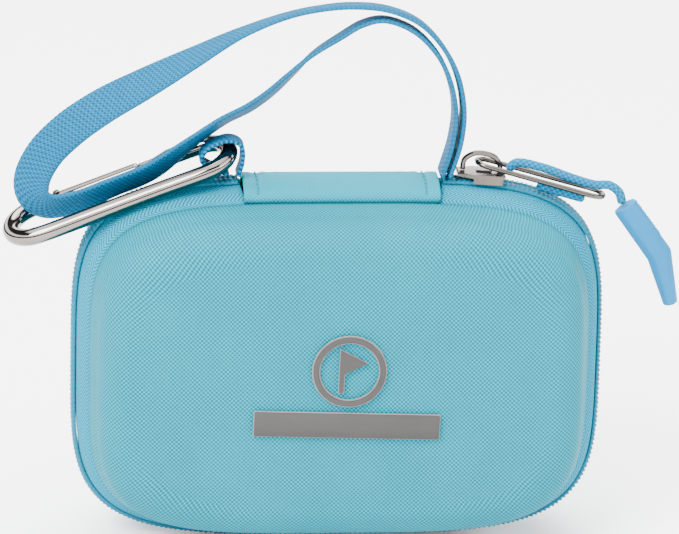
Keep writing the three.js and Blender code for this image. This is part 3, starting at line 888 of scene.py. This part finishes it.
        def place(u: float, v: float) -> Vector:
            """Point on the groove's thread."""
            rise, y = section[round(v * count) % count]
            return OUTLINE_SHAPE.point(u, rise, sign * y)

        name = f"{self.prefix}_seam_thread"
        piece = Workbench.surface(name, OUTLINE_COLUMNS, count, place, (0.42, 0.002))
        Workbench.dress(piece, THREAD, self.body, "thread")


# -------------------------------------------------------------------- the spine


@dataclass
class Spine:
    """The fabric band over the top, with its stitching and gathered ends."""

    rise: float = 5.0
    wall: float = 1.2
    stitch_x: float = 22.3
    stitches: int = 9
    stitch_start: float = 0.16
    stitch_span: float = 0.68
    arch_power: float = 0.62

    def arch(self, t: float, wall: float) -> tuple[float, float]:
        """Depth and height of the band at a share from its front edge to its back one."""
        angle = (t - 0.5) * math.pi
        height = abs(math.cos(angle)) ** self.arch_power
        half = SEAM_Y + 0.15 - wall
        return half * math.sin(angle), TOP_SEAM_Z - 0.5 + (self.rise + 0.2 - wall) * height

    def build(self) -> None:
        """Makes and dresses the spine's pieces."""
        columns, rows = 120, 28

        def place(u: float, v: float) -> Vector:
            """Point on the band: over the top, then back underneath."""
            column = round(u * columns)
            inner = min(max(column, 1), columns - 1)
            x = -SPINE_HALF + 2 * SPINE_HALF * (inner - 1) / (columns - 2)
            row = round(v * rows) % rows
            half = rows // 2
            wall = 0.0 if row <= half else self.wall
            t = row / half if row <= half else (rows - row) / half
            y, z = self.arch(t, wall)
            near = (abs(x) - self.stitch_x) / 1.3
            dip = 0.38 * math.exp(-near * near)
            pucker = 0.1 * math.sin(x * 1.7 + y * 0.3) * math.exp(-(((abs(x) - 21) / 4) ** 2))
            if row <= half:
                z -= (dip + pucker) * math.cos((t - 0.5) * math.pi) ** 0.5 if 0 < t < 1 else 0.0
            if column in (0, columns):
                y, z = 0.0, TOP_SEAM_Z + self.rise - 1.2
                x = math.copysign(SPINE_HALF, x)
            return Vector((x, y, z)) * MM

        piece = Workbench.surface("spine_cloth", columns, rows, place, (0.052, 0.046))
        Workbench.dress(piece, SPINE, Body.BACK, "spine", ["spine_band"])
        Workbench.repaint(["spine_lining"], LINING)
        self.sew()

    def sew(self) -> None:
        """A row of stitches near each end, one modelled and copied."""
        Workbench.clear()
        bpy.ops.mesh.primitive_uv_sphere_add(segments=8, ring_count=5, radius=1.0)
        seed = bpy.context.object
        size = Matrix.Diagonal((0.24 * MM, 0.85 * MM, 0.2 * MM, 1.0))
        spots = []
        for side in (-1, 1):
            for i in range(self.stitches):
                t = self.stitch_start + self.stitch_span * i / (self.stitches - 1)
                y, z = self.arch(t, 0.0)
                y2, z2 = self.arch(t + 0.01, 0.0)
                lean = math.atan2(z2 - z, y2 - y)
                turn = Matrix.Rotation(lean, 4, "X")
                spot = Matrix.Translation(Vector((side * self.stitch_x, y, z - 0.12)) * MM)
                spots.append(spot @ turn @ size)
        piece = Workbench.scatter("spine_stitches", seed, spots)
        bpy.ops.object.shade_smooth()
        Workbench.dress(piece, THREAD, Body.BACK, "thread", ["tack_left", "tack_right"])


# ---------------------------------------------------------------- the webbing


@dataclass
class WebbingPiece:
    """A length of webbing along a route of [x, y, z, lean] rows in millimetres."""

    name: str
    rows: Sequence[Sequence[float]]
    width: float
    wall: float
    steps: int
    node: str

    def build(self) -> Piece:
        """Makes and dresses the webbing, with rounded, slightly thicker edges."""
        route = Route(self.rows)
        half, thick = self.width / 2, self.wall / 2
        girth: list[tuple[float, float]] = []
        for i in range(11):
            s = -1 + 2 * i / 10
            edge = 1 - 0.35 * max(0.0, abs(s) - 0.9) / 0.1
            girth.append((s * half * 0.985, thick * edge))
        girth += [(half, 0.0)]
        girth += [(x, -t) for x, t in reversed(girth[:11])]
        girth += [(-half, 0.0)]
        count = len(girth)
        steps = self.steps
        up = Vector((0, 1, 0))

        def place(u: float, v: float) -> Vector:
            """Point on the webbing."""
            column = round(u * steps)
            inner = min(max(column, 1), steps - 1)
            share = (inner - 1) / (steps - 2)
            along = route.heading(share)
            along.y = 0
            along.normalize()
            outward = -up.cross(along)
            lean = math.radians(route.at(share)[3])
            front = -up * math.cos(lean) + outward * math.sin(lean)
            face = front.cross(along).normalized()
            across, through = girth[round(v * count) % count]
            if column in (0, steps):
                across, through = across * 0.98, 0.0
            return route.point(share) + front * (across * MM) + face * (through * MM)

        def laid(u: float, v: float) -> tuple[float, float]:
            """Distance along the webbing and across its width."""
            at = v * count
            low = int(at) % count
            across = girth[low][0] + (girth[(low + 1) % count][0] - girth[low][0]) * (at - int(at))
            return (u * route.length, across * MM)

        piece = Workbench.surface(self.name, steps, count, place, uv_place=laid)
        return Workbench.dress(piece, STRAP, None, "webbing", [self.node])


STRAP_ROWS = (
    (28.9, 0, 101.3, 0),
    (31.6, 0, 110.7, 0),
    (32.2, 0, 119.7, 0),
    (30.1, 0, 129.2, -2),
    (25.7, 0, 137.1, -4),
    (19.7, 0, 143.0, -6),
    (11.6, 0, 146.4, -8),
    (2.5, 0, 147.3, -9),
    (-6.4, 0, 146.5, -10),
    (-15.2, 0, 144.5, -9),
    (-27.1, 0, 139.8, -1),
    (-39.8, 0, 132.9, 17),
    (-52.5, 0, 125.9, 38),
    (-63.8, 0, 119.5, 56),
    (-72.8, 0, 112.8, 74),
    (-78.8, 0.2, 106.1, 76),
    (-81.7, 0.4, 99.1, 68),
    (-80.9, 0.5, 94.6, 60),
    (-77.2, 0.5, 92.3, 54),
    (-70.4, 0.5, 93.4, 48),
    (-60.8, 0.5, 97.3, 44),
    (-50.2, 0.5, 101.9, 42),
    (-39.6, 0.2, 110.0, 30),
    (-31.2, 0, 116.0, 26),
    (-24.6, 0.2, 119.4, 26),
    (-19.2, 0.3, 123.3, 24),
    (-14.0, 0.3, 128.2, 20),
    (-7.9, 0.2, 134.1, 12),
    (-0.3, 0.2, 139.2, 8),
    (5.0, 0.2, 142.4, 8),
    (10.6, 0.1, 143.6, 8),
    (18.2, 0.1, 140.9, 5),
    (24.2, 0, 135.2, 3),
    (27.9, 0, 128.5, 1),
    (30.0, 0, 119.6, 0),
    (29.4, 0, 110.7, 0),
    (26.9, 0, 101.3, 0),
)


RING_EYE = (-29.6, 0.9, 107.6)
RING_ROD = 2.3


@dataclass
class WristStrap:
    """The long strap and the short keeper that holds the carabiner."""

    width: float = 10.0
    wall: float = 1.3
    steps: int = 520
    keeper_width: float = 6.6
    keeper_wall: float = 1.2
    keeper_slack: float = 0.6

    def build(self) -> None:
        """Makes both lengths of webbing; the keeper rides on the back half."""
        name, node = "strap_webbing_loop", "wrist_strap"
        strap = WebbingPiece(name, STRAP_ROWS, self.width, self.wall, self.steps, node).build()
        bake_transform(strap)
        eye = Vector(RING_EYE)
        reach = RING_ROD + self.keeper_wall / 2 + self.keeper_slack
        foot = SPINE_HALF + 1.2
        rows = (
            (-foot, 0, CREST_Z + 0.5, 0),
            (eye.x + reach, 0, eye.z - 2, 0),
            (eye.x + reach * 0.86, 0, eye.z + reach * 0.6, 0),
            (eye.x, 0, eye.z + reach, 0),
            (eye.x - reach * 1.6, 0, eye.z + reach * 0.4, 0),
            (eye.x - reach - 3.8, 0, eye.z - 2, 0),
            (-foot - 2.64, 0, CREST_Z + 0.7, 0),
        )
        name, node = "keeper_webbing", "carabiner_keeper"
        keeper = WebbingPiece(name, rows, self.keeper_width, self.keeper_wall, 120, node).build()
        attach(keeper, Body.BACK.value)


# -------------------------------------------------------------- the carabiner


@dataclass
class Carabiner:
    """The wire ring, its gate and the gate's pin."""

    right: tuple[float, float, float] = RING_EYE
    left: tuple[float, float, float] = (-87, 0.9, 85.4)
    tilt: float = math.radians(11)
    half_width: float = 7.7
    rod: float = RING_ROD
    gate_rod: float = 2.0
    gate_slim: float = 0.95
    gate_start: float = 49.5
    gate_end: float = 24.5

    def __post_init__(self) -> None:
        """Finds the ring's own directions."""
        a, b = Vector(self.right), Vector(self.left)
        self.along = (b - a).normalized()
        self.up = Vector((self.along.z, 0, -self.along.x))
        self.across = Vector((0, math.cos(self.tilt), 0)) + self.up * math.sin(self.tilt)
        self.length = (b - a).length

    def at(self, along: float, across: float) -> tuple[float, float, float]:
        """A place on the ring's plane, in millimetres."""
        return tuple(Vector(self.right) + self.along * along + self.across * across)

    def end(self, centre: float, start: float, stop: float, count: int) -> list[tuple[float, float, float]]:
        """A half-circle end of the ring."""
        points = []
        for i in range(count + 1):
            angle = math.radians(start + (stop - start) * i / count)
            along = centre + self.half_width * math.sin(angle)
            points.append(self.at(along, self.half_width * math.cos(angle)))
        return points

    def build(self) -> None:
        """Makes and dresses the ring, gate and pin."""
        far = self.length - self.half_width
        points = [self.at(self.gate_start + 1.0, self.half_width)]
        points += self.end(far, 0, 180, 7)
        points += [self.at(self.length * share, -self.half_width) for share in (0.66, 0.33)]
        points += self.end(self.half_width, 180, 360, 7)
        points.append(self.at(self.gate_end - 0.4, self.half_width))
        level = self.along.cross(self.across).normalized()

        def nose(share: float, turn: float) -> float:
            """The bar thins to a hooked nose where the gate closes on it."""
            if share > 0.965:
                return 0.62
            if share > 0.93:
                return 0.62 + 0.38 * (0.965 - share) / 0.035
            return 1.0

        ring = Rods.sweep("carabiner_ring", Route(points), self.rod * MM, 260, 28, level, nose, cap=0.15)
        Workbench.dress(ring, CHROME, Body.CARABINER, "chrome", ["carabiner_frame"])
        tube = Route([self.at(self.gate_start, self.half_width), self.at(self.gate_end, self.half_width)])

        def neck(share: float, turn: float) -> float:
            """The gate tube, a little slimmer than its solid, rolled in at both ends and slotted."""
            end = min(share, 1 - share)
            roll = 1.0 if end > 0.03 else 0.82 + 0.18 * math.sin(end / 0.03 * math.pi / 2)
            slot = 0.9 if abs(turn - 0.25) < 0.045 and share > 0.12 else 1.0
            return roll * slot * self.gate_slim

        gate = Rods.sweep("gate_tube", tube, self.gate_rod * MM, 90, 40, level, neck, cap=0.1)
        Workbench.dress(gate, CHROME, Body.GATE, "chrome", ["carabiner_gate"])
        hinge = Vector(self.at(self.gate_start - 2.2, self.half_width))
        reach = self.gate_rod + 0.35
        pin_route = Route([tuple(hinge - level * reach), tuple(hinge + level * reach)])

        def head(share: float, turn: float) -> float:
            """A pin with small riveted heads."""
            return 1.35 if min(share, 1 - share) < 0.1 else 1.0

        pin = Rods.sweep("gate_rivet", pin_route, 0.68 * MM, 20, 20, self.along, head, cap=0.35)
        Workbench.dress(pin, NICKEL, Body.CARABINER, "steel", ["gate_pin"])


# ------------------------------------------------------------------- the zip pull


@dataclass
class ZipPull:
    """The slider, the wire link, the doubled cord and the moulded grip."""

    pivot: tuple[float, float, float] = (37.4, 0, 104.5)
    end: tuple[float, float, float] = (68.6, -4, 96.6)
    wire: float = 0.7
    half_width: float = 3.1
    cord: float = 1.2
    lift: float = 2.25

    def __post_init__(self) -> None:
        """Finds the link's own directions."""
        a, b = Vector(self.pivot), Vector(self.end)
        self.along = (b - a).normalized()
        self.across = Vector((0, 0, 1)).cross(self.along).normalized()
        self.up = self.along.cross(self.across)
        self.length = (b - a).length

    def at(self, along: float, across: float, above: float = 0.0) -> tuple[float, float, float]:
        """A place measured from the link's pivot, in millimetres."""
        return tuple(Vector(self.pivot) + self.along * along + self.across * across + self.up * above)

    def build(self) -> None:
        """Makes and dresses every piece of the pull."""
        Workbench.repaint(("slider_body", "slider_bridge", "slider_lock"), NICKEL)
        self.link()
        self.cords()
        self.grip()

    def link(self) -> None:
        """The narrow closed wire link."""
        r = self.half_width
        outer = r + self.wire
        near, far = outer * 0.55, self.length - outer + outer * 0.55
        points = []
        for i in range(7):
            angle = math.radians(90 + 180 * i / 6)
            points.append(self.at(near + r * math.cos(angle), r * math.sin(angle)))
        for share in (0.25, 0.5, 0.75):
            points.append(self.at(near + (far - near) * share, -r))
        for i in range(7):
            angle = math.radians(-90 + 180 * i / 6)
            points.append(self.at(far + r * math.cos(angle), r * math.sin(angle)))
        for share in (0.75, 0.5, 0.25):
            points.append(self.at(near + (far - near) * share, r))
        ring = Rods.sweep("pull_link", Route(points, closed=True), self.wire * MM, 220, 18, self.up)
        Workbench.dress(ring, NICKEL, Body.PULL, "steel", ["pull_wire"])

    def cords(self) -> None:
        """The cord, doubled through the link, with a braided skin."""
        far = self.length
        upper = [
            self.at(far * 0.24, 0, 0.4),
            self.at(far * 0.28, 0, self.lift),
            self.at(far * 0.5, 0, self.lift + 0.7),
            self.at(far * 0.75, 0, self.lift + 0.1),
            self.at(far * 0.95, 0, self.lift),
            (71.6, -4, 99.0),
            (74.2, -4, 97.0),
            (75.0, -4, 94.6),
        ]
        lower = [self.at(far * share, 0, -self.lift) for share in (0.52, 0.68, 0.88)]

        def braid(share: float, turn: float) -> float:
            """Raised strands crossing round the cord."""
            right = math.sin(2 * math.pi * (share * 30 + turn * 3))
            left = math.sin(2 * math.pi * (share * 30 - turn * 3))
            return 1.0 + 0.05 * (right * left)

        level = Vector((0, 1, 0))
        for name, points, node, body in (
            ("cord_upper", upper, "pull_cord", None),
            ("cord_lower", lower, "pull_cord_lower", Body.PULL),
        ):
            piece = Rods.sweep(name, Route(points), self.cord * MM, 180, 24, level, braid, cap=0.7)
            Workbench.dress(piece, CORD, body, "grip", [node])
            if body is None:
                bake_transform(piece)

    def grip(self) -> None:
        """The bent, faceted grip with raised dots on its outer face."""
        route = ((75.7, 93.4, 7.0, 5.3), (85.6, 79.8, 7.4, 6.6), (89.2, 66.0, 4.2, 5.4))
        rings = []
        for i, (x, z, height, width) in enumerate(route):
            before, after = route[max(0, i - 1)], route[min(2, i + 1)]
            along = Vector((after[0] - before[0], 0, after[1] - before[1])).normalized()
            up = Vector((-along.z, 0, along.x))
            rings.append((Vector((x, -4, z)), up, height / 2, width / 2))

        def place(u: float, v: float) -> Vector:
            """Point on the grip: an eight-sided section, closed at both ends."""
            column = round(u * 4)
            centre, up, high, wide = rings[min(max(column - 1, 0), 2)]
            if column in (0, 4):
                return centre * MM
            turn = 2 * math.pi * (round(v * 8) % 8 + 0.5) / 8
            return (centre + up * (high * math.cos(turn)) + Vector((0, wide * math.sin(turn), 0))) * MM

        piece = Workbench.surface("grip_moulding", 4, 8, place, (0.03, 0.02))
        Workbench.bevel(piece, 0.55 * MM, 4)
        Workbench.dress(piece, GRIP, Body.GRIP, "grip", ["pull_grip"])
        self.dots(rings)

    def dots(self, rings: Sequence[tuple[Vector, Vector, float, float]]) -> None:
        """Small raised studs on the grip's outer face, one made and copied."""
        Workbench.clear()
        bpy.ops.mesh.primitive_cone_add(vertices=4, radius1=0.42 * MM, radius2=0.16 * MM, depth=0.34 * MM)
        seed = bpy.context.object
        spots = []
        a, b = rings[0], rings[1]
        along = (b[0] - a[0]).normalized()
        lift = Vector((-along.z, 0, along.x))
        basis = Matrix((along, Vector((0, 1, 0)), lift)).transposed().to_4x4()
        length = (b[0] - a[0]).length
        for i in range(11):
            for k in range(-2, 3):
                if (i + k) % 2:
                    continue
                share = (1.3 + i * 1.05) / length
                high = (a[2] + (b[2] - a[2]) * share) * 0.925 + 0.02
                spot = a[0] + along * (length * share) + lift * high
                spot = spot + Vector((0, k * 0.62, 0))
                spots.append(Matrix.Translation(spot * MM) @ basis)
        piece = Workbench.scatter("grip_dots", seed, spots)
        Workbench.dress(piece, GRIP, Body.GRIP, "grip")


# ---------------------------------------------------------------- badge, inside


@dataclass
class Badge:
    """The raised mark: a ring and flag over a plain bar, each with a dark edge."""

    nodes: tuple[str, ...] = ("badge_ring", "badge_flag", "badge_bar")
    margin: float = 0.35
    rounding: float = 0.18

    def build(self) -> None:
        """Copies each raised shape, rounds its edges and lays a dark edge behind it."""
        for name in self.nodes:
            for suffix, finish, grow in (("face", BADGE, 0.0), ("edge", OUTLINE, self.margin)):
                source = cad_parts[name]
                copy = source.copy()
                copy.data = source.data.copy()
                copy.parent = None
                copy.matrix_world = source.matrix_world.copy()
                for key in list(copy.keys()):
                    if key.startswith("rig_"):
                        del copy[key]
                bpy.context.collection.objects.link(copy)
                copy.hide_render = False
                copy.hide_viewport = False
                copy.data.transform(copy.matrix_world)
                copy.matrix_world = Matrix.Identity(4)
                copy.name = f"{name}_{suffix}"
                Workbench.weld(copy)
                if grow:
                    self.widen(copy, grow)
                Workbench.bevel(copy, self.rounding * MM, 2)
                replaced = [name] if suffix == "face" else []
                Workbench.dress(copy, finish, Body.LID, "badge", replaced)

    @staticmethod
    def widen(piece: Piece, grow: float) -> None:
        """Swells a shape by a margin and sinks it so that only its rim shows round the face."""
        normals = [v.normal.copy() for v in piece.data.vertices]
        low = max(v.co.y for v in piece.data.vertices)
        for vertex, normal in zip(piece.data.vertices, normals):
            flat = Vector((normal.x, 0, normal.z))
            if flat.length > 1e-6:
                vertex.co += flat.normalized() * grow * MM
            if vertex.co.y < low - 0.0001:
                vertex.co.y = low - 0.0004


@dataclass
class Inside:
    """What shows when the lid is open."""

    def build(self) -> None:
        """Dresses the pocket, its hem and the elastic band."""
        Workbench.repaint(["mesh_pocket"], NET)
        Workbench.repaint(("pocket_hem", "elastic_band"), LINING)


# ------------------------------------------------------------------- the studio

SENSOR = 36
FRAME_WIDTH = 679
LIGHT_AIM = (0, 0, 0.06)


@dataclass
class Studio:
    """Camera, lights, floor and surround."""

    azimuth: float = -5.0
    elevation: float = 18.0
    distance: float = 1.4
    target: tuple[float, float, float] = (0.0004, 0.0, 0.0752)
    roll: float = math.radians(1.3)
    scale: float = 3.75

    def build(self) -> None:
        """Makes everything that isn't the object."""
        self.camera()
        self.floor()
        self.surround()
        self.lights()

    def camera(self) -> None:
        """The camera, from a little left of the front and above."""
        az, el = math.radians(self.azimuth), math.radians(self.elevation)
        away = Vector((math.sin(az) * math.cos(el), -math.cos(az) * math.cos(el), math.sin(el)))
        data = bpy.data.cameras.new("camera")
        data.lens = self.scale * self.distance * 1000 * SENSOR / FRAME_WIDTH
        data.sensor_width = SENSOR
        data.clip_start = 0.01
        data.clip_end = 20
        camera = bpy.data.objects.new("camera", data)
        bpy.context.collection.objects.link(camera)
        camera.location = Vector(self.target) + away * self.distance
        aim = (-away).to_track_quat("-Z", "Y").to_matrix()
        camera.rotation_euler = (aim @ Matrix.Rotation(self.roll, 3, "Z")).to_euler()
        bpy.context.scene.camera = camera

    def floor(self) -> None:
        """A plain pale floor."""
        Workbench.clear()
        bpy.ops.mesh.primitive_plane_add(size=12, location=(0, 0, -0.0002))
        plane = bpy.context.object
        plane.name = "floor"
        nodes = NodeTree("floor_paint")
        nodes.set(Roughness=0.9)
        nodes.shader.inputs["Base Color"].default_value = (0.93, 0.93, 0.93, 1.0)
        plane.data.materials.append(nodes.material)

    def surround(self) -> None:
        """A white surround, dark low down and in one band higher up, for the metal to reflect."""
        world = bpy.data.worlds.new("surround")
        bpy.context.scene.world = world
        world.use_nodes = True
        background = world.node_tree.nodes["Background"]
        tree = world.node_tree
        place = tree.nodes.new("ShaderNodeTexCoord")
        parts = tree.nodes.new("ShaderNodeSeparateXYZ")
        tree.links.new(place.outputs["Generated"], parts.inputs[0])
        ramp = tree.nodes.new("ShaderNodeValToRGB")
        tree.links.new(parts.outputs[2], ramp.inputs[0])
        bands = ((0.18, 0.02), (0.24, 1.0), (0.44, 1.0), (0.5, 0.02), (0.74, 0.02), (0.8, 1.0))
        steps = ramp.color_ramp.elements
        while len(steps) < len(bands):
            steps.new(0.5)
        for step, (height, grey) in zip(steps, bands):
            step.position = height
            step.color = (grey, grey * 0.96, grey * 0.92, 1.0) if grey < 1 else (1.0, 1.0, 1.0, 1.0)
        tree.links.new(ramp.outputs[0], background.inputs[0])
        background.inputs[1].default_value = 7.0

    def lights(self) -> None:
        """The main light from the upper left, a weak one from the right and one from above."""
        for name, place, size, power in (
            ("main", (-0.9, -1.1, 1.3), 0.9, 110.0),
            ("side", (1.2, -0.7, 0.8), 1.0, 16.0),
            ("top", (0.0, 0.5, 1.6), 1.0, 40.0),
        ):
            data = bpy.data.lights.new(name, "AREA")
            data.energy = power
            data.size = size
            light = bpy.data.objects.new(name, data)
            bpy.context.collection.objects.link(light)
            light.location = place
            aim = Vector(LIGHT_AIM) - Vector(place)
            light.rotation_euler = aim.to_track_quat("-Z", "Y").to_euler()


def main() -> None:
    """Builds the studio and the case."""
    logging.basicConfig(level=logging.INFO, format="%(message)s")
    Studio().build()
    HalfCase(Side.BACK, Body.BACK, "back").build()
    HalfCase(Side.FRONT, Body.LID, "front").build()
    Spine().build()
    WristStrap().build()
    Carabiner().build()
    ZipPull().build()
    Badge().build()
    Inside().build()


if __name__ == "__main__":
    main()
